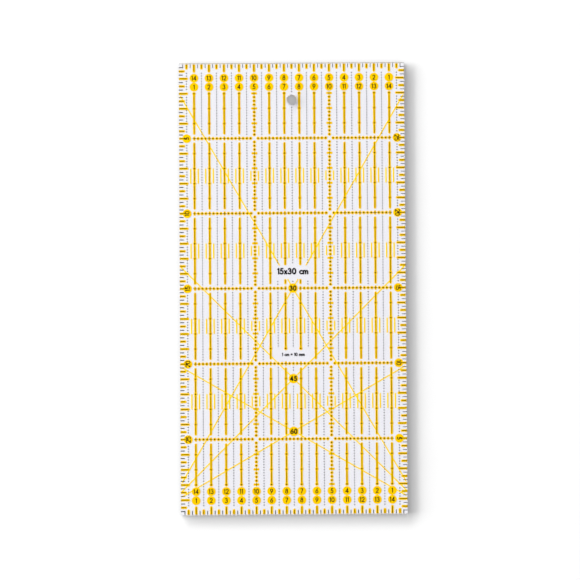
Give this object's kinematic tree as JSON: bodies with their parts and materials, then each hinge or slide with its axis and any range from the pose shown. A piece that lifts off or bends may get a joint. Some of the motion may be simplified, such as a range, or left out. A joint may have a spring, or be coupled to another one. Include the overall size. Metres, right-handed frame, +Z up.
{
  "type": "quilting ruler",
  "caption": "Clear flat rectangular quilting ruler: yellow and black printed centimetre grid, 30/45/60 degree cutting guides, number discs, edge scales and a hang hole.",
  "frame": {"origin": "middle of the underside, on the surface that the ruler lies on", "axes": "+X across the ruler to the right, +Y along it towards the hang hole, +Z up through the sheet"},
  "size_m": [0.15, 0.3, 0.003],
  "materials": {
    "clear_acrylic": "clear polished acrylic sheet with sawn and flame-polished edges",
    "yellow_ink": "opaque bright yellow screen ink",
    "black_ink": "opaque black screen ink"
  },
  "bodies": {
    "root": {"acrylic_sheet": "clear_acrylic", "yellow_ink": "yellow_ink", "black_ink": "black_ink"}
  },
  "joints": []
}
